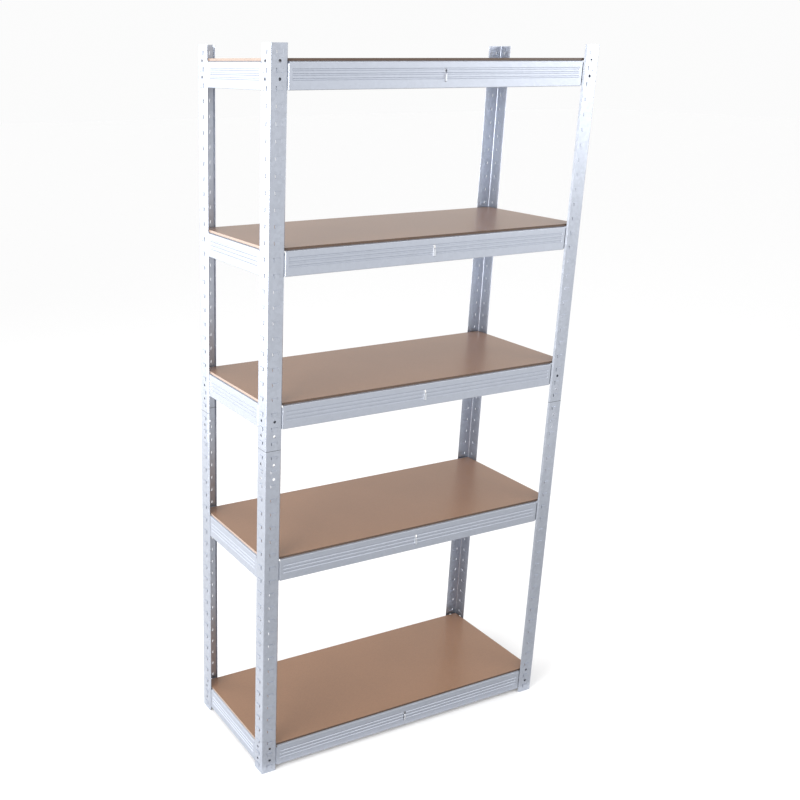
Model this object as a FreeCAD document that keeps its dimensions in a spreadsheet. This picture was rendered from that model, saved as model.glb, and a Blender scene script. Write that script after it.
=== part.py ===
import FreeCAD, Part
import os
import re

import Sketcher

# Boltless steel shelving, five tiers, in millimetres.
# Origin: on the floor, under the middle of the unit. +X runs along the width, +Y to the rear, +Z up.
# Posts are slotted steel angles in two halves. Beams hook into the slots, and each carries a ledge
# folded inwards. A loose board lies on the four ledges of its tier, over a bar that ties the long beams.

doc = FreeCAD.newDocument("boltless_shelving")
sheet = doc.addObject("Spreadsheet::Sheet", "Sizes")

DRIVING_SIZES = (
    ("shelf_width", 900, "overall, along X"),
    ("shelf_depth", 360, "overall, along Y"),
    ("post_half_height", 900, "one of the two halves of a post"),
    ("steel_gauge", 1, "thickness of every folded sheet"),
    ("flange_width", 43, "post, corner to free edge, lip included"),
    ("lip_run", 3.5, "how far the 45 degree lip goes along and in"),
    ("corner_radius", 3, "outside of the post's fold"),
    ("slot_pitch", 36, "between hook slots"),
    ("slot_first", 18, "centre of the lowest slot of a half"),
    ("slots_per_half", 25, "count"),
    ("slot_from_corner", 22.5, "centre of a slot"),
    ("slit_spread", 7.3, "from the slot's centre to each of its two slits"),
    ("slit_slope", 0.14, "sideways lean of a slit for each mm of height"),
    ("slit_height", 8.5, ""),
    ("slit_gap", 1.1, "width of one slit"),
    ("bridge_rise", 1.2, "metal between the two slits, pressed outwards"),
    ("bridge_margin", 0.3, "slit, above and below the bridge"),
    ("hole_radius", 3.5, "round holes near the ends of each half"),
    ("hole_from_corner", 23, ""),
    ("hole_near", 36, "first round hole, from the end of the half"),
    ("hole_far", 72, "second round hole, from the end of the half"),
    ("connector_length", 88, "angle inside the joint of two halves"),
    ("connector_leg", 36, ""),
    ("connector_gauge", 1.5, ""),
    ("connector_gap", 0.1, "between the connector and the post"),
    ("web_height", 57, "beam"),
    ("face_inset", 2.5, "beam's face, behind the post's face"),
    ("beam_end_gap", 0.5, "between the beam's step and the post's edge"),
    ("step_run", 3, "length over which the beam's end steps inwards"),
    ("step_setback", 0.35, "keeps the sheet's thickness round the step"),
    ("fold_radius", 1.5, "outside of the beam's top and bottom folds"),
    ("tongue_inset", 2.4, "beam's end tongue, behind the beam's face"),
    ("tongue_from_corner", 12, "free end of the tongue"),
    ("tongue_bottom", 2, "above the beam's bottom edge"),
    ("tongue_height", 52, ""),
    ("hook_below_top", 16, "upper hook, below the beam's top fold"),
    ("hook_gauge", 0.8, "width of a hook's blade"),
    ("hook_height", 6.2, "blade, where it passes through the slit"),
    ("hook_drop", 2.2, "how far the blade's lip hangs below the slit"),
    ("hook_proud", 0.8, "how far the lip stands out of the post's face"),
    ("hook_play", 0.1, "clearance of a seated hook"),
    ("ledge_depth", 20, "beam's top ledge, from the beam's face"),
    ("ledge_rise", 2, "ledge above the top fold"),
    ("ledge_slope_run", 4, "depth over which the ledge rises"),
    ("ledge_return", 4, "edge turned down along the ledge"),
    ("foot_lip", 8, "lip folded in at the beam's bottom edge"),
    ("groove_first", 16, "top groove, below the beam's top fold"),
    ("groove_pitch", 9.5, ""),
    ("groove_width", 5, "at the beam's face"),
    ("groove_depth", 1.2, ""),
    ("groove_draft", 45, "degrees"),
    ("groove_end", 8, "plain web at each end of the grooves"),
    ("tie_slot_width", 7, "slot for the tie bar, half way along a long beam"),
    ("tie_slot_height", 25, ""),
    ("tie_slot_below_top", 28, "centre of the slot"),
    ("bar_flange", 24, "tie bar, width under the board"),
    ("bar_web", 2, "tie bar, doubled sheet standing on edge"),
    ("bar_gap", 1, "between the tie bar and the beams"),
    ("bar_step_top", 50, "tie bar under the ledges, above the beam's bottom"),
    ("tab_width", 4.5, "tie bar's folded end, inside the slot"),
    ("tab_height", 17, ""),
    ("tab_root", 8, "length of the tab behind the beam"),
    ("tab_drop", 3, "tab's nose below the slot"),
    ("tab_proud", 3, "tab's nose outside the beam"),
    ("tab_slope", 2.2, "sloping top and bottom of the nose"),
    ("tab_play", 0.2, ""),
    ("board_inset", 7, "board's edge, behind the post's face"),
    ("board_gauge", 5.5, ""),
    ("lowest_tier_slot", 1, "number of the slot that takes the upper hooks, counted from 0"),
    ("second_tier_slot", 16, ""),
    ("third_tier_slot", 27, ""),
    ("fourth_tier_slot", 37, ""),
    ("top_tier_slot", 48, ""),
)

for row, (alias, value, meaning) in enumerate(DRIVING_SIZES, start=1):
    sheet.set("A%d" % row, alias)
    sheet.set("B%d" % row, str(value))
    sheet.setAlias("B%d" % row, alias)
    sheet.set("C%d" % row, meaning)
doc.recompute()

TIER_SLOTS = ("lowest_tier_slot", "second_tier_slot", "third_tier_slot", "fourth_tier_slot", "top_tier_slot")
SIDE_TURNS = {"front": 0, "right": 90, "back": 180, "left": 270}
# Corner: sign along X, sign along Y, turn about Z that brings the angle's corner there.
CORNERS = {
    "front_left": (-1, -1, 0),
    "front_right": (1, -1, 90),
    "rear_right": (1, 1, 180),
    "rear_left": (-1, 1, 270),
}


# ---- expressions, sketches and features ----

def bound(expression):
    """Names of the sheet's cells become references to the sheet."""
    return re.sub(r"[a-z_]{3,}", r"Sizes.\g<0>", expression)


def origin_plane(body, role):
    planes = [item for item in body.Origin.OriginFeatures if item.Role == role]
    return planes[0]


def new_sketch(body, name, plane, height="0"):
    """Sketch on one of the body's origin planes, moved along that plane's normal by height."""
    sketch = body.newObject("Sketcher::SketchObject", name)
    sketch.AttachmentSupport = [(origin_plane(body, plane), "")]
    sketch.MapMode = "FlatFace"
    sketch.setExpression("AttachmentOffset.Base.z", bound(height))
    return sketch


def pin_point(sketch, geometry, point, across, up):
    """Tie one point of a sketch to the sheet, by its distances from the sketch's origin."""
    for constraint, expression in (("DistanceX", across), ("DistanceY", up)):
        value = sketch.evalExpression(bound(expression))
        number = sketch.addConstraint(Sketcher.Constraint(constraint, -1, 1, geometry, point, value))
        sketch.setExpression("Constraints[%d]" % number, bound(expression))


def add_outline(sketch, corners):
    """Closed outline of straight lines. A corner is a pair of expressions."""
    first = sketch.GeometryCount
    count = len(corners)
    points = []
    for across, up in corners:
        x = sketch.evalExpression(bound(across))
        y = sketch.evalExpression(bound(up))
        points.append(FreeCAD.Vector(x, y, 0))
    for index in range(count):
        following = points[(index + 1) % count]
        sketch.addGeometry(Part.LineSegment(points[index], following), False)
    for index in range(count):
        following = first + (index + 1) % count
        sketch.addConstraint(Sketcher.Constraint("Coincident", first + index, 2, following, 1))
    for index, (across, up) in enumerate(corners):
        pin_point(sketch, first + index, 1, across, up)


def add_rectangle(sketch, left, right, low, high):
    add_outline(sketch, [(left, low), (right, low), (right, high), (left, high)])


def add_circle(sketch, across, up, radius):
    x = sketch.evalExpression(bound(across))
    y = sketch.evalExpression(bound(up))
    r = sketch.evalExpression(bound(radius))
    circle = sketch.addGeometry(Part.Circle(FreeCAD.Vector(x, y, 0), FreeCAD.Vector(0, 0, 1), r), False)
    pin_point(sketch, circle, 3, across, up)
    number = sketch.addConstraint(Sketcher.Constraint("Radius", circle, r))
    sketch.setExpression("Constraints[%d]" % number, bound(radius))


def add_slot_slits(sketch, across, up, low, high, gap):
    """The two leaning slits of a hook slot, or the blades that fill them, closer together below."""
    for side in ("-", "+"):
        corners = []
        for edge, level in (("-", low), ("+", low), ("+", high), ("-", high)):
            middle = "%s %s (slit_spread + slit_slope * (%s))" % (across, side, level)
            corners.append(("%s %s %s / 2" % (middle, edge, gap), "%s + %s" % (up, level)))
        add_outline(sketch, corners)


def add_between_slits(sketch, across, up, half_height):
    """Keystone from the middle of one slit to the middle of the other."""
    corners = []
    for side, level in (("-", "-"), ("+", "-"), ("+", "+"), ("-", "+")):
        reach = "(slit_spread %s slit_slope * %s)" % (level, half_height)
        corners.append(("%s %s %s" % (across, side, reach), "%s %s %s" % (up, level, half_height)))
    add_outline(sketch, corners)


def pad(body, sketch, length, side="One side", reverse=False):
    feature = body.newObject("PartDesign::Pad", sketch.Name + "_pad")
    feature.Profile = sketch
    feature.SideType = side
    feature.Reversed = reverse
    feature.setExpression("Length", bound(length))
    return feature


def pocket(body, sketch, length, side="One side", reverse=False):
    feature = body.newObject("PartDesign::Pocket", sketch.Name + "_pocket")
    feature.Profile = sketch
    feature.SideType = side
    feature.Reversed = reverse
    feature.setExpression("Length", bound(length))
    return feature


def round_edge(body, base, along, place, radius):
    """Fillet the straight edge that runs along X or Z, where its other two coordinates are place."""
    doc.recompute()
    across = {"x": ("y", "z"), "z": ("x", "y")}[along]
    wanted = [base.evalExpression(bound(expression)) for expression in place]
    names = []
    for number, edge in enumerate(base.Shape.Edges, start=1):
        ends = [[getattr(vertex.Point, axis) for axis in across] for vertex in edge.Vertexes]
        if all(abs(end[0] - wanted[0]) < 0.01 and abs(end[1] - wanted[1]) < 0.01 for end in ends):
            names.append("Edge%d" % number)
    feature = body.newObject("PartDesign::Fillet", "round")
    feature.Base = (base, names)
    feature.setExpression("Radius", bound(radius))
    return feature


def put(item, x, y, z, turn):
    """Placement from expressions, with a turn about Z in degrees."""
    item.Placement = FreeCAD.Placement(FreeCAD.Vector(), FreeCAD.Rotation(FreeCAD.Vector(0, 0, 1), turn))
    item.setExpression("Placement.Base.x", bound(x))
    item.setExpression("Placement.Base.y", bound(y))
    item.setExpression("Placement.Base.z", bound(z))


def put_at_corner(item, corner, z):
    sign_x, sign_y, turn = CORNERS[corner]
    put(item, "%d * shelf_width / 2" % sign_x, "%d * shelf_depth / 2" % sign_y, z, turn)


def new_body(label):
    body = doc.addObject("PartDesign::Body", label)
    body.Label = label
    return body


# ---- posts: the angle's corner stands on the body's Z axis, its flanges along +X and +Y ----

def slot_row(body, flange, plane, faces_out):
    """Hook slots up one flange: two leaning slits, and the bridge between them pressed outwards."""
    half_bridge = "(slit_height / 2 - bridge_margin)"
    bridge = new_sketch(body, flange + "_bridge", plane)
    add_between_slits(bridge, "slot_from_corner", "slot_first", half_bridge)
    pressed_out = pad(body, bridge, "bridge_rise", reverse=not faces_out)

    inner_face = "-steel_gauge" if faces_out else "steel_gauge"
    hollow = new_sketch(body, flange + "_hollow", plane, inner_face)
    add_between_slits(hollow, "slot_from_corner", "slot_first", "(%s - steel_gauge)" % half_bridge)
    pressed_in = pocket(body, hollow, "bridge_rise", reverse=faces_out)

    slits = new_sketch(body, flange + "_slits", plane)
    add_slot_slits(slits, "slot_from_corner", "slot_first", "-slit_height / 2", "slit_height / 2", "slit_gap")
    cut_through = pocket(body, slits, "5 * steel_gauge", "Symmetric")

    row = body.newObject("PartDesign::LinearPattern", flange + "_slot_row")
    row.Originals = [pressed_out, pressed_in, cut_through]
    row.Direction = (slits, ["V_Axis"])
    row.setExpression("Length", bound("slot_pitch * (slots_per_half - 1)"))
    row.setExpression("Occurrences", bound("slots_per_half"))
    body.Tip = row


def post_half(label):
    body = new_body(label)
    section = new_sketch(body, "section", "XY_Plane")
    bend = "flange_width - lip_run"
    one_flange = [
        (bend, "0"),
        ("flange_width", "lip_run"),
        ("flange_width - 0.707 * steel_gauge", "lip_run + 0.707 * steel_gauge"),
        (bend + " - 0.414 * steel_gauge", "steel_gauge"),
    ]
    other_flange = [(up, across) for across, up in reversed(one_flange)]
    corners = [("0", "0")] + one_flange + [("steel_gauge", "steel_gauge")] + other_flange
    add_outline(section, corners)
    angle = pad(body, section, "post_half_height")
    outside = round_edge(body, angle, "z", ("0", "0"), "corner_radius")
    inner_radius = "corner_radius - steel_gauge"
    round_edge(body, outside, "z", ("steel_gauge", "steel_gauge"), inner_radius)

    # Sketches on the XZ plane face out of the post, and those on the YZ plane face into it.
    for flange, plane, faces_out in (("one", "XZ_Plane", True), ("other", "YZ_Plane", False)):
        slot_row(body, flange, plane, faces_out)
        holes = new_sketch(body, flange + "_holes", plane)
        for from_end in ("hole_near", "hole_far"):
            add_circle(holes, "hole_from_corner", from_end, "hole_radius")
            add_circle(holes, "hole_from_corner", "post_half_height - " + from_end, "hole_radius")
        body.Tip = pocket(body, holes, "4 * steel_gauge", "Symmetric")
    return body


def post_connector(label):
    """Short angle inside the joint, with holes that line up with the posts' holes next to it."""
    body = new_body(label)
    section = new_sketch(body, "section", "XY_Plane")
    outer = "steel_gauge + connector_gap"
    inner = outer + " + connector_gauge"
    add_outline(section, [
        (outer, outer),
        ("connector_leg", outer),
        ("connector_leg", inner),
        (inner, inner),
        (inner, "connector_leg"),
        (outer, "connector_leg"),
    ])
    angle = pad(body, section, "connector_length")
    round_edge(body, angle, "z", (outer, outer), "corner_radius - steel_gauge")
    for flange, plane in (("one", "XZ_Plane"), ("other", "YZ_Plane")):
        holes = new_sketch(body, flange + "_holes", plane)
        for side in ("-", "+"):
            add_circle(holes, "hole_from_corner", "connector_length / 2 %s hole_near" % side, "hole_radius")
        body.Tip = pocket(body, holes, "8 * steel_gauge", "Symmetric")
    return body


# ---- beams: face in the body's XZ plane looking along -Y, bottom edge at Z 0, middle at X 0 ----

def beam_section(body):
    """Web with a ledge folded in at the top and a lip at the bottom."""
    section = new_sketch(body, "section", "YZ_Plane")
    ledge_top = "web_height + ledge_rise"
    add_outline(section, [
        ("foot_lip", "0"),
        ("0", "0"),
        ("0", "web_height"),
        ("ledge_slope_run", ledge_top),
        ("ledge_depth", ledge_top),
        ("ledge_depth", ledge_top + " - ledge_return"),
        ("ledge_depth - steel_gauge", ledge_top + " - ledge_return"),
        ("ledge_depth - steel_gauge", ledge_top + " - steel_gauge"),
        ("ledge_slope_run + 0.24 * steel_gauge", ledge_top + " - steel_gauge"),
        ("steel_gauge", "web_height - 0.62 * steel_gauge"),
        ("steel_gauge", "steel_gauge"),
        ("foot_lip", "steel_gauge"),
    ])
    return section


def beam_grooves(body, half_face):
    """Three pressed grooves: ribs behind the web, then the grooves into them from the face."""
    half_groove = half_face + " - groove_end"
    ribs = new_sketch(body, "ribs", "XZ_Plane")
    grooves = new_sketch(body, "grooves", "XZ_Plane")
    for number in range(3):
        level = "web_height - groove_first - %d * groove_pitch" % number
        for sketch, wider in ((ribs, "1.4 * steel_gauge"), (grooves, "0")):
            half_width = "(groove_width / 2 + %s)" % wider
            half_run = "(%s + %s)" % (half_groove, wider)
            low = "%s - %s" % (level, half_width)
            high = "%s + %s" % (level, half_width)
            add_rectangle(sketch, "-" + half_run, half_run, low, high)
    raised = pad(body, ribs, "steel_gauge + groove_depth", reverse=True)
    raised.setExpression("TaperAngle", bound("-groove_draft"))
    pressed = pocket(body, grooves, "groove_depth")
    pressed.setExpression("TaperAngle", bound("-groove_draft"))


def beam_end(body, half_face, half_length):
    """Step, tongue behind the post's flange, and its hooks. The far end is its mirror image."""
    tongue = new_sketch(body, "tongue", "XY_Plane", "tongue_bottom")
    tongue_end = half_length + " - tongue_from_corner"
    step_end = half_face + " + step_run"
    add_outline(tongue, [
        (half_face + " - steel_gauge", "0"),
        (half_face, "0"),
        (step_end, "tongue_inset"),
        (tongue_end, "tongue_inset"),
        (tongue_end, "tongue_inset + steel_gauge"),
        (step_end + " - step_setback", "tongue_inset + steel_gauge"),
        (half_face + " - step_setback", "steel_gauge"),
        (half_face + " - steel_gauge", "steel_gauge"),
    ])
    plate = pad(body, tongue, "tongue_height")

    # The sketches of the hooks lie in front of the post's face, and their pads go in from there.
    blades = new_sketch(body, "hook_blades", "XZ_Plane", "face_inset + hook_proud")
    lips = new_sketch(body, "hook_lips", "XZ_Plane", "face_inset + hook_proud")
    seat = "hook_play - slit_height / 2"
    for upper_or_lower in range(2):
        level = "web_height - hook_below_top - %d * slot_pitch" % upper_or_lower
        middle = half_length + " - slot_from_corner"
        add_slot_slits(blades, middle, level, seat, seat + " + hook_height", "hook_gauge")
        add_slot_slits(lips, middle, level, seat + " - hook_drop", seat + " + hook_height", "hook_gauge")
    through = pad(body, blades, "face_inset + hook_proud + tongue_inset + steel_gauge / 2", reverse=True)
    hanging = pad(body, lips, "hook_proud - hook_play", reverse=True)

    far_end = body.newObject("PartDesign::Mirrored", "far_end")
    far_end.Originals = [plate, through, hanging]
    far_end.MirrorPlane = (origin_plane(body, "YZ_Plane"), [""])
    body.Tip = far_end


def beam(label, length, has_tie_slot):
    body = new_body(label)
    half_length = length + " / 2"
    half_face = half_length + " - flange_width - beam_end_gap - step_run"
    folded = pad(body, beam_section(body), "2 * (%s)" % half_face, "Symmetric")
    folded = round_edge(body, folded, "x", ("0", "web_height"), "fold_radius")
    round_edge(body, folded, "x", ("0", "0"), "fold_radius")
    beam_grooves(body, half_face)
    beam_end(body, half_face, half_length)
    if has_tie_slot:
        slot = new_sketch(body, "tie_slot", "XZ_Plane")
        level = "web_height - tie_slot_below_top"
        low = level + " - tie_slot_height / 2"
        high = level + " + tie_slot_height / 2"
        add_rectangle(slot, "-tie_slot_width / 2", "tie_slot_width / 2", low, high)
        body.Tip = pocket(body, slot, "8 * steel_gauge", "Symmetric")
    return body


# ---- tie bar: along Y under a board, on the same level datum as the beams ----

def tie_bar(label):
    body = new_body(label)
    flange_end = "shelf_depth / 2 - face_inset - ledge_depth - bar_gap"
    web_face = "shelf_depth / 2 - face_inset"
    step_end = web_face + " - steel_gauge - groove_depth - bar_gap"
    bar_top = "web_height + ledge_rise"
    tab_low = "web_height - tie_slot_below_top - tie_slot_height / 2 + tab_play"
    nose_low = tab_low + " - tab_drop"
    tab_top = tab_low + " + tab_height"

    flange = new_sketch(body, "flange", "XZ_Plane")
    add_rectangle(flange, "-bar_flange / 2", "bar_flange / 2", bar_top + " - steel_gauge", bar_top)
    pad(body, flange, "2 * (%s)" % flange_end, "Symmetric")

    one_end = [
        (step_end, tab_low),
        (step_end, "bar_step_top"),
        (flange_end, "bar_step_top"),
        (flange_end, bar_top + " - steel_gauge / 2"),
    ]
    other_end = [("-(%s)" % across, up) for across, up in reversed(one_end)]
    web = new_sketch(body, "web", "YZ_Plane")
    add_outline(web, one_end + other_end)
    pad(body, web, "bar_web", "Symmetric")

    # The end is folded to the width of the tab, and its nose hangs outside the beam.
    nose = web_face + " + tab_proud"
    tabs = new_sketch(body, "tabs", "YZ_Plane")
    for side in ("", "-"):
        add_outline(tabs, [("%s(%s)" % (side, across), up) for across, up in (
            (step_end + " - tab_root", tab_low),
            (web_face + " + tab_play", tab_low),
            (web_face + " + tab_play", nose_low),
            (nose, nose_low + " + tab_slope"),
            (nose, tab_top + " - tab_slope"),
            (web_face + " + tab_play", tab_top),
            (step_end + " - tab_root", tab_top),
        )])
    body.Tip = pad(body, tabs, "tab_width", "Symmetric")
    return body


def shelf_board(label):
    board = doc.addObject("Part::Box", label)
    board.Label = label
    board.setExpression("Length", bound("shelf_width - 2 * board_inset"))
    board.setExpression("Width", bound("shelf_depth - 2 * board_inset"))
    board.setExpression("Height", bound("board_gauge"))
    return board


# ---- the assembly ----

nodes = []

for corner in CORNERS:
    lower = post_half("post_%s_lower" % corner)
    put_at_corner(lower, corner, "0")
    upper = post_half("post_%s_upper" % corner)
    put_at_corner(upper, corner, "post_half_height")
    connector = post_connector("post_connector_%s" % corner)
    put_at_corner(connector, corner, "post_half_height - connector_length / 2")
    nodes += [lower, upper, connector]

for tier, slot_number in enumerate(TIER_SLOTS, start=1):
    beam_bottom = "slot_first + slot_pitch * %s + hook_below_top - web_height" % slot_number
    for side, turn in SIDE_TURNS.items():
        is_long = side in ("front", "back")
        piece = beam("beam_%s_%d" % (side, tier), "shelf_width" if is_long else "shelf_depth", is_long)
        x, y = {
            "front": ("0", "face_inset - shelf_depth / 2"),
            "back": ("0", "shelf_depth / 2 - face_inset"),
            "left": ("face_inset - shelf_width / 2", "0"),
            "right": ("shelf_width / 2 - face_inset", "0"),
        }[side]
        put(piece, x, y, beam_bottom, turn)
        nodes.append(piece)

    bar = tie_bar("tie_bar_%d" % tier)
    put(bar, "0", "0", beam_bottom, 0)
    board = shelf_board("shelf_board_%d" % tier)
    board_bottom = beam_bottom + " + web_height + ledge_rise"
    put(board, "board_inset - shelf_width / 2", "board_inset - shelf_depth / 2", board_bottom, 0)
    nodes += [bar, board]

doc.recompute()

for item in doc.Objects:
    if "Invalid" in item.State or "Error" in item.State:
        raise RuntimeError("%s did not recompute" % item.Label)

os.makedirs("parts", exist_ok=True)
for node in nodes:
    if node.Shape.isNull() or not node.Shape.isValid():
        raise RuntimeError("%s has no valid shape" % node.Label)
    node.Shape.exportStep("parts/%s.step" % node.Label)
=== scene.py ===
import math

import bpy
from mathutils import Matrix, Vector


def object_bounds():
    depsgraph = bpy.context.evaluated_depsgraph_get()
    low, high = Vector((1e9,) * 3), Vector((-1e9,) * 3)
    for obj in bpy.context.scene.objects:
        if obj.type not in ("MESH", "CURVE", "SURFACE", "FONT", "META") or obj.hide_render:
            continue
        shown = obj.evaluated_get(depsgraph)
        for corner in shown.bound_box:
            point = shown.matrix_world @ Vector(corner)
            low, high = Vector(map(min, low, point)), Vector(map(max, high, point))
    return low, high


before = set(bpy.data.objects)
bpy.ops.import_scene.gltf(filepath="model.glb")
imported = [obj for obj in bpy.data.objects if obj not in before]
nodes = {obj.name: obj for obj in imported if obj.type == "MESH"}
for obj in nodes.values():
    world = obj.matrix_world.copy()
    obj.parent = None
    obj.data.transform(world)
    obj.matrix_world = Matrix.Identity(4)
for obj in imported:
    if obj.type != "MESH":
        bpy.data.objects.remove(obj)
cad_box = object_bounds()

# Colours are linear red, green, blue. Lengths are in metres.
ZINC = (0.45, 0.48, 0.545)
# Tie bars: zinc lightened to paint in the highlight that their tabs catch.
TIE_ZINC_PAINTED_HIGHLIGHT = (0.64, 0.66, 0.70)
JOINT_SHADOW = (0.15, 0.16, 0.18)
BOARD_FACE = (0.26, 0.143, 0.083)
# Board edge tones by facing: long edges darker, partly their own tone and partly painted shade; short edges
# paler as painted light.
BOARD_LONG_EDGE_DARK_AND_PAINTED_SHADE = (0.075, 0.045, 0.03)
BOARD_SHORT_EDGE_PAINTED_LIGHT = (0.34, 0.25, 0.20)
POST_JOINT_HEIGHT = cad_box[1][2] / 2  # the two halves of a post are equally long
POST_JOINT_HALF_WIDTH = 0.0007
CRYSTALS_PER_METRE = 130
STEEL_METALLIC = 0.92
BOARD_ROUGHNESS = 0.32
MATT = 0.9
EDGE_FACING = 0.8  # a face is part of an edge if its normal has more than this along X or Y
GRAIN_DEPTH = 0.0002
BOARD_ARRIS = 0.0012
STEEL_ARRIS = 0.0003
ARRIS_ANGLE = math.radians(40)
FLOOR_SIDE = 60
FLOOR_GREY = 0.9
FLOOR_GLOW = 0.1
WORLD_STRENGTH = 0.97
CARD_GREY = 0.6
CARD_PLACE = (0.2, -0.95, 0.004)
CARD_SIZE = (3.0, 1.5)

# name, place, aim, size, watts, spread in degrees
SOFTBOXES = (
    ("left_rear_softbox", (-2.6, 2.4, 1.3), (0, 0, 0.9), (2.4, 3.0), 46, 180),
    ("left_front_softbox", (-2.2, -0.75, 1.4), (0.1, 0.1, 1.0), (1.7, 1.7), 24, 80),
    ("right_front_softbox", (3.6, -2.8, 2.3), (0.4, 0, 1.8), (1.4, 2.0), 4.5, 60),
    ("right_rear_softbox", (3.8, 1.6, 1.2), (0, 0, 0.9), (0.8, 3.0), 3, 120),
    ("front_high_softbox", (1.8, -2.7, 3.4), (0, -0.1, 1.3), (1.4, 1.4), 1.4, 50),
)

# angles in radians, lens in millimetres
CAMERA_PLACE = (-1.5318, -2.1903, 1.7645)
CAMERA_YAW = 0.4512
CAMERA_PITCH = -0.3341
CAMERA_ROLL = -0.0018
CAMERA_SENSOR = 36
CAMERA_LENS = 47.01
CAMERA_SHIFT = (0.22, 0.0291)


# ---- material helpers ----

def new_material(name):
    material = bpy.data.materials.new(name)
    material.use_nodes = True
    tree = material.node_tree
    shader = tree.nodes["Principled BSDF"]
    return material, tree, shader


def add(tree, kind, **settings):
    node = tree.nodes.new(kind)
    for key, value in settings.items():
        setattr(node, key, value)
    return node


def noise(tree, vector, scale, detail, roughness=0.5):
    node = add(tree, "ShaderNodeTexNoise")
    node.inputs["Scale"].default_value = scale
    node.inputs["Detail"].default_value = detail
    node.inputs["Roughness"].default_value = roughness
    tree.links.new(vector, node.inputs["Vector"])
    return node.outputs["Fac"]


def stretch(tree, vector, scale):
    """The same coordinates, scaled differently along each axis."""
    node = add(tree, "ShaderNodeMapping")
    node.inputs["Scale"].default_value = scale
    tree.links.new(vector, node.inputs["Vector"])
    return node.outputs["Vector"]


def remap(tree, value, low, high, to_low, to_high):
    node = add(tree, "ShaderNodeMapRange")
    for key, number in (("From Min", low), ("From Max", high), ("To Min", to_low), ("To Max", to_high)):
        node.inputs[key].default_value = number
    tree.links.new(value, node.inputs["Value"])
    return node.outputs["Result"]


def maths(tree, operation, first, second=0):
    node = add(tree, "ShaderNodeMath", operation=operation)
    for socket, value in zip(node.inputs, (first, second)):
        if isinstance(value, (int, float)):
            socket.default_value = value
        else:
            tree.links.new(value, socket)
    return node.outputs["Value"]


def layered(tree, layers):
    """Weighted sum of (value, weight) pairs."""
    parts = [maths(tree, "MULTIPLY", value, weight) for value, weight in layers]
    total = parts[0]
    for part in parts[1:]:
        total = maths(tree, "ADD", total, part)
    return total


def tint(tree, dark, light, value):
    """Colour between dark and light, by value from 0 to 1."""
    node = add(tree, "ShaderNodeMix", data_type="RGBA")
    node.inputs["A"].default_value = (*dark, 1)
    node.inputs["B"].default_value = (*light, 1)
    tree.links.new(value, node.inputs["Factor"])
    return node.outputs["Result"]


def blend(tree, first, second, share):
    node = add(tree, "ShaderNodeMix", data_type="RGBA")
    tree.links.new(first, node.inputs["A"])
    tree.links.new(second, node.inputs["B"])
    tree.links.new(share, node.inputs["Factor"])
    return node.outputs["Result"]


def scaled(colour, factor):
    return tuple(min(1, channel * factor) for channel in colour)


def varied(tree, colour, darkest, lightest, value):
    """One colour, from darkest to lightest times itself, by value from 0 to 1."""
    return tint(tree, scaled(colour, darkest), scaled(colour, lightest), value)


def darker_at_height(tree, colour, height, half_width):
    """A thin dark line all round at one height, where two lengths of a post meet."""
    place = add(tree, "ShaderNodeSeparateXYZ")
    tree.links.new(add(tree, "ShaderNodeTexCoord").outputs["Object"], place.inputs["Vector"])
    away = maths(tree, "ABSOLUTE", maths(tree, "SUBTRACT", place.outputs["Z"], height))
    line = add(tree, "ShaderNodeMix", data_type="RGBA")
    line.inputs["B"].default_value = (*JOINT_SHADOW, 1)
    tree.links.new(colour, line.inputs["A"])
    tree.links.new(maths(tree, "LESS_THAN", away, half_width), line.inputs["Factor"])
    return line.outputs["Result"]


def bump(tree, shader, height, distance, strength):
    node = add(tree, "ShaderNodeBump")
    node.inputs["Distance"].default_value = distance
    node.inputs["Strength"].default_value = strength
    tree.links.new(height, node.inputs["Height"])
    tree.links.new(node.outputs["Normal"], shader.inputs["Normal"])


# ---- materials ----

def galvanised_steel(name, zinc, seed, contrast, roughness):
    """Zinc coat: small crystals, each a little lighter or darker, with clouds and streaks over them."""
    material, tree, shader = new_material(name)
    place = add(tree, "ShaderNodeTexCoord").outputs["Object"]
    moved = add(tree, "ShaderNodeMapping")
    moved.inputs["Location"].default_value = (seed, seed * 0.7, seed * 0.3)
    tree.links.new(place, moved.inputs["Vector"])
    place = moved.outputs["Vector"]

    crystals = add(tree, "ShaderNodeTexVoronoi", feature="F1")
    crystals.inputs["Scale"].default_value = CRYSTALS_PER_METRE
    tree.links.new(place, crystals.inputs["Vector"])
    each = add(tree, "ShaderNodeSeparateColor")
    tree.links.new(crystals.outputs["Color"], each.inputs["Color"])
    clouds = noise(tree, place, scale=14, detail=4)
    streaks = noise(tree, stretch(tree, place, (90, 90, 8)), scale=1, detail=3)

    shade = layered(tree, ((each.outputs["Red"], 0.4), (clouds, 0.35), (streaks, 0.25)))
    colour = varied(tree, zinc, 1 - contrast, 1 + contrast, shade)
    colour = darker_at_height(tree, colour, POST_JOINT_HEIGHT, POST_JOINT_HALF_WIDTH)
    tree.links.new(colour, shader.inputs["Base Color"])
    rough = remap(tree, each.outputs["Green"], 0, 1, roughness - contrast * 0.3, roughness + contrast * 0.3)
    tree.links.new(rough, shader.inputs["Roughness"])
    shader.inputs["Metallic"].default_value = STEEL_METALLIC
    pores = noise(tree, place, scale=420, detail=2)
    grain = layered(tree, ((pores, 1), (each.outputs["Blue"], 0.5)))
    bump(tree, shader, grain, distance=GRAIN_DEPTH, strength=contrast)
    return material


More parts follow.
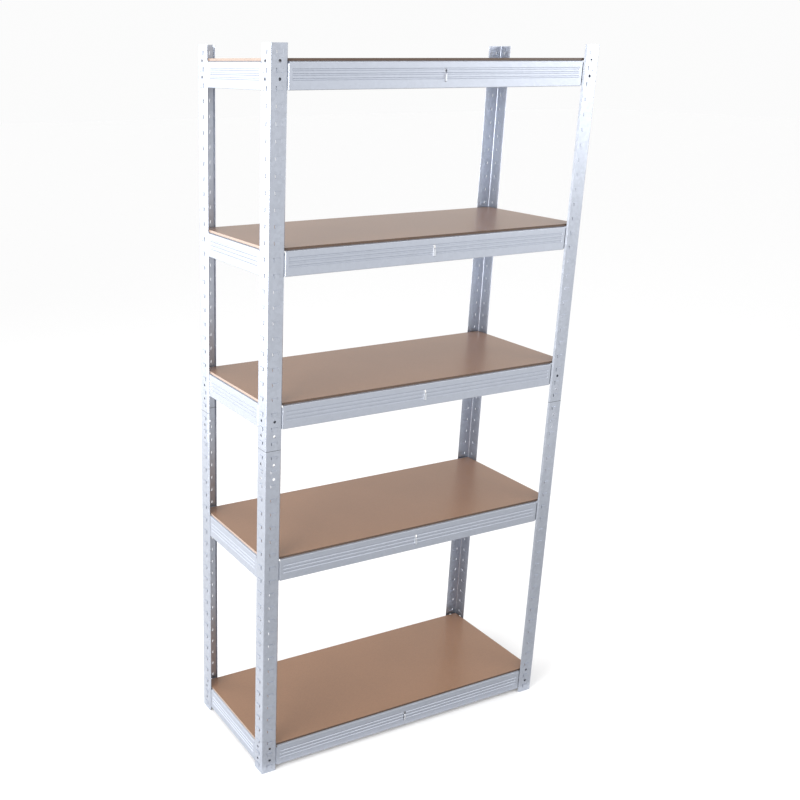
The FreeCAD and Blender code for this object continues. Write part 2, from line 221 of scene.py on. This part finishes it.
def fibreboard(name):
    """Pressed fibres: fine brown flecks and soft clouds. Long edges get a darker edge tone with painted
    shade over it; short edges get painted light.
    """
    material, tree, shader = new_material(name)
    place = add(tree, "ShaderNodeTexCoord").outputs["Object"]
    flecks = noise(tree, place, scale=520, detail=4, roughness=0.7)
    fibres = noise(tree, stretch(tree, place, (180, 420, 420)), scale=1, detail=3, roughness=0.6)
    clouds = noise(tree, place, scale=5, detail=3)
    shade = layered(tree, ((flecks, 0.4), (fibres, 0.35), (clouds, 0.25)))
    shade = remap(tree, shade, 0.3, 0.7, 0, 1)
    colour = varied(tree, BOARD_FACE, 0.85, 1.15, shade)
    # painted shade on the long edges over a darker edge tone, painted light on the short edges
    long_edge_dark_and_shaded = varied(tree, BOARD_LONG_EDGE_DARK_AND_PAINTED_SHADE, 0.7, 1.4, shade)
    short_edge_painted_lit = varied(tree, BOARD_SHORT_EDGE_PAINTED_LIGHT, 0.8, 1.1, shade)

    # Faces pointing along Y get the shaded long-edge tone; faces pointing along X get the painted-lit
    # short-edge tone.
    facing = add(tree, "ShaderNodeSeparateXYZ")
    tree.links.new(add(tree, "ShaderNodeTexCoord").outputs["Normal"], facing.inputs["Vector"])
    for axis, edge in (("Y", long_edge_dark_and_shaded), ("X", short_edge_painted_lit)):
        on_edge = maths(tree, "GREATER_THAN", maths(tree, "ABSOLUTE", facing.outputs[axis]), EDGE_FACING)
        colour = blend(tree, colour, edge, on_edge)
    tree.links.new(colour, shader.inputs["Base Color"])
    shader.inputs["Roughness"].default_value = BOARD_ROUGHNESS
    shader.inputs["Specular IOR Level"].default_value = 0.5
    bump(tree, shader, flecks, distance=GRAIN_DEPTH, strength=0.3)
    return material


def matt(name, grey, specular=0.5, glow=0.0):
    """Plain matt grey, with an even white glow if one is asked for."""
    material, tree, shader = new_material(name)
    shader.inputs["Base Color"].default_value = (grey, grey, grey, 1)
    shader.inputs["Roughness"].default_value = MATT
    shader.inputs["Specular IOR Level"].default_value = specular
    shader.inputs["Emission Color"].default_value = (1, 1, 1, 1)
    shader.inputs["Emission Strength"].default_value = glow
    return material


steels = {
    "post": galvanised_steel("post_zinc", ZINC, seed=0.0, contrast=0.12, roughness=0.33),
    "beam": galvanised_steel("beam_zinc", ZINC, seed=3.1, contrast=0.05, roughness=0.40),
    # the lighter tie zinc is a painted highlight
    "tie": galvanised_steel("tie_bar_zinc_painted_highlight", TIE_ZINC_PAINTED_HIGHLIGHT, seed=7.7, contrast=0.05, roughness=0.33),
}
board_brown = fibreboard("raw_fibreboard")

for name, node in nodes.items():
    node.data.materials.clear()
    node.data.materials.append(steels.get(name.split("_")[0], board_brown))
    worn = node.modifiers.new("worn_edges", "BEVEL")
    worn.limit_method = "ANGLE"
    worn.angle_limit = ARRIS_ANGLE
    worn.segments = 2
    worn.width = BOARD_ARRIS if name.startswith("shelf_board") else STEEL_ARRIS


# ---- floor, light and camera ----

# The floor's faint glow merges it with the white world.
bpy.ops.mesh.primitive_plane_add(size=FLOOR_SIDE, location=(0, 0, 0))
floor = bpy.context.object
floor.name = "floor"
floor.data.materials.append(matt("pale_floor", FLOOR_GREY, specular=0.1, glow=FLOOR_GLOW))

# A grey card on the floor, seen only in reflections: it keeps the floor's glare off the lower steel.
bpy.ops.mesh.primitive_plane_add(size=1, location=CARD_PLACE)
card = bpy.context.object
card.name = "grey_card"
card.scale = (*CARD_SIZE, 1)
card.data.materials.append(matt("grey_card", CARD_GREY))
card.visible_camera = False
card.visible_diffuse = False
card.visible_shadow = False
card.visible_transmission = False

scene = bpy.context.scene
scene.view_settings.view_transform = "Standard"
world = bpy.data.worlds.new("studio")
scene.world = world
world.use_nodes = True
world.node_tree.nodes["Background"].inputs["Color"].default_value = (1, 1, 1, 1)
world.node_tree.nodes["Background"].inputs["Strength"].default_value = WORLD_STRENGTH


def softbox(name, place, aim, size, watts, spread):
    light = bpy.data.lights.new(name, "AREA")
    light.shape = "RECTANGLE"
    light.size, light.size_y = size
    light.energy = watts
    light.spread = math.radians(spread)
    box = bpy.data.objects.new(name, light)
    scene.collection.objects.link(box)
    box.location = place
    box.rotation_mode = "QUATERNION"
    box.visible_camera = False
    box.rotation_quaternion = (Vector(aim) - Vector(place)).to_track_quat("-Z", "Y")


for settings in SOFTBOXES:
    softbox(*settings)

camera_data = bpy.data.cameras.new("camera")
camera = bpy.data.objects.new("camera", camera_data)
scene.collection.objects.link(camera)
camera_data.sensor_width = CAMERA_SENSOR
camera_data.lens = CAMERA_LENS
camera_data.shift_x, camera_data.shift_y = CAMERA_SHIFT
turn = Matrix.Rotation(-CAMERA_YAW, 4, "Z")
tilt = Matrix.Rotation(math.pi / 2 + CAMERA_PITCH, 4, "X")
roll = Matrix.Rotation(CAMERA_ROLL, 4, "Z")
camera.matrix_world = Matrix.Translation(Vector(CAMERA_PLACE)) @ turn @ tilt @ roll
scene.camera = camera
